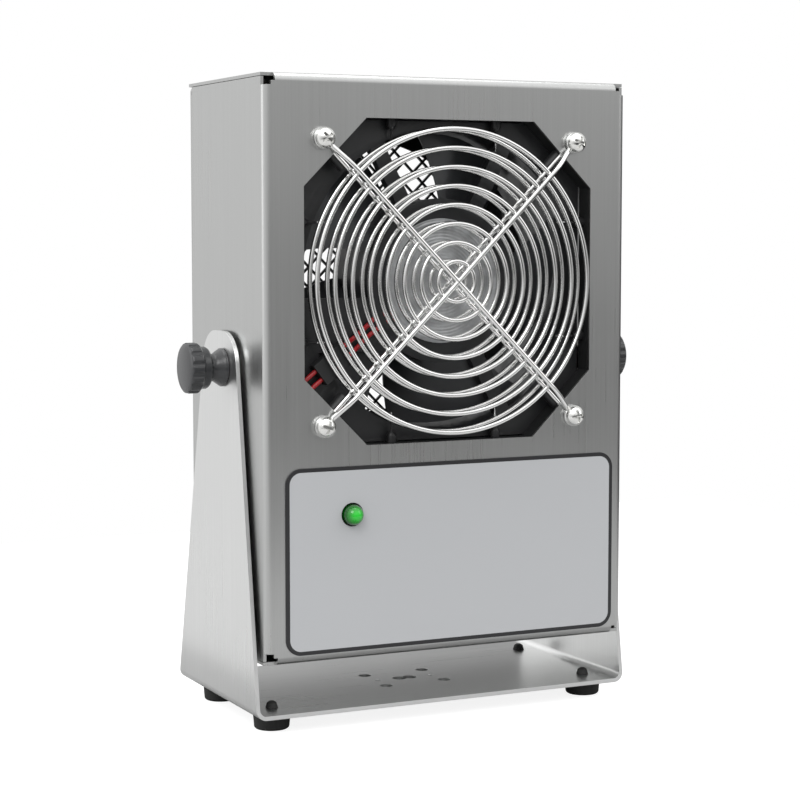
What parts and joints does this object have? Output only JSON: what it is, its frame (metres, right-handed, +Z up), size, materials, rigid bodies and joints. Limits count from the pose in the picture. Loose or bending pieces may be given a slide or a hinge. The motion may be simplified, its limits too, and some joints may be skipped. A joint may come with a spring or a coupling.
{
  "type": "ionizing blower",
  "caption": "Bench-top ionizing air blower: folded stainless case with a wire-guarded fan opening, tilting on a U-shaped stand with side knobs and rubber feet.",
  "frame": {"origin": "on the surface that the feet stand on, under the middle of the whole blower's outline", "axes": "+Z up, the blower faces -Y, +X to the right when seen from the front; the tilt axis lies along X"},
  "size_m": [0.1886, 0.1022, 0.2415],
  "materials": {
    "case_steel": "brushed stainless sheet",
    "stand_steel": "satin stainless sheet",
    "cover_steel": "brushed stainless sheet",
    "guard_chrome": "bright plated wire",
    "screw_steel": "bright plated",
    "zinc_steel": "zinc plated",
    "label_film": "satin grey film",
    "led_green": "clear green resin",
    "black_plastic": "fine grained moulding",
    "fan_black": "black powder coat",
    "blade_plastic": "dark grey moulding",
    "motor_foil": "satin foil",
    "winding_copper": "enamelled copper and laminations",
    "bearing_steel": "ground",
    "lead_red": "soft wire sleeve",
    "mesh_black": "black coated mesh",
    "board_green": "solder resist",
    "part_blue": "sleeved components",
    "potting_black": "potting resin",
    "rubber_black": "moulded rubber",
    "knob_plastic": "moulded grip",
    "control_steel": "plated",
    "jack_green": "moulded",
    "washer_nylon": "nylon"
  },
  "bodies": {
    "stand": {"stand_bracket": "stand_steel", "feet": "rubber_black"},
    "head": {"front_case": "case_steel", "rear_cover": "cover_steel", "cover_screws": "zinc_steel", "front_label": "label_film", "status_led": "led_green", "led_holder": "black_plastic", "finger_guard": "guard_chrome", "guard_hooks": "guard_chrome", "guard_screws": "screw_steel", "guard_nuts": "zinc_steel", "air_duct": "black_plastic", "sensor_grid": "guard_chrome", "grid_posts": "black_plastic", "emitter_points": "bearing_steel", "fan_frame": "fan_black", "motor_label": "motor_foil", "motor_stator": "winding_copper", "fan_bearings": "bearing_steel", "fan_terminal": "black_plastic", "fan_leads": "lead_red", "rear_mesh": "mesh_black", "mesh_screws": "zinc_steel", "mesh_nuts": "zinc_steel", "control_board": "board_green", "board_parts": "part_blue", "hv_transformers": "potting_black", "board_pillars": "zinc_steel", "board_screws": "zinc_steel", "power_inlet": "black_plastic", "inlet_screws": "zinc_steel", "power_switch": "black_plastic", "speed_control": "control_steel", "speed_nut": "zinc_steel", "ground_jack": "jack_green", "ground_nut": "zinc_steel", "pivot_nuts": "zinc_steel", "arm_washers": "washer_nylon"},
    "impeller": {"fan_rotor": "fan_black", "fan_impeller": "blade_plastic"},
    "rocker": {"switch_rocker": "black_plastic"},
    "speed_dial": {"speed_knob": "knob_plastic"},
    "left_grip": {"left_knob": "knob_plastic", "left_stud": "zinc_steel"},
    "right_grip": {"right_knob": "knob_plastic", "right_stud": "zinc_steel"}
  },
  "joints": [
    {"name": "head_tilt", "type": "hinge", "parent": "stand", "child": "head", "pos_m": [0, -0.00972, 0.134], "axis": [1, 0, 0], "continuous": true},
    {"name": "impeller_spin", "type": "hinge", "parent": "head", "child": "impeller", "pos_m": [0, -0.02473, 0.166], "axis": [0, 1, 0], "continuous": true},
    {"name": "left_knob_turn", "type": "hinge", "parent": "head", "child": "left_grip", "pos_m": [-0.0863, -0.00972, 0.134], "axis": [1, 0, 0], "continuous": true},
    {"name": "right_knob_turn", "type": "hinge", "parent": "head", "child": "right_grip", "pos_m": [0.0863, -0.00972, 0.134], "axis": [1, 0, 0], "continuous": true},
    {"name": "switch_rock", "type": "hinge", "parent": "head", "child": "rocker", "pos_m": [0.0071, 0.03177, 0.065], "axis": [1, 0, 0], "range_deg": [-9, 9]},
    {"name": "speed_turn", "type": "hinge", "parent": "head", "child": "speed_dial", "pos_m": [0.0299, 0.04328, 0.065], "axis": [0, 1, 0], "range_deg": [-135, 135]}
  ]
}
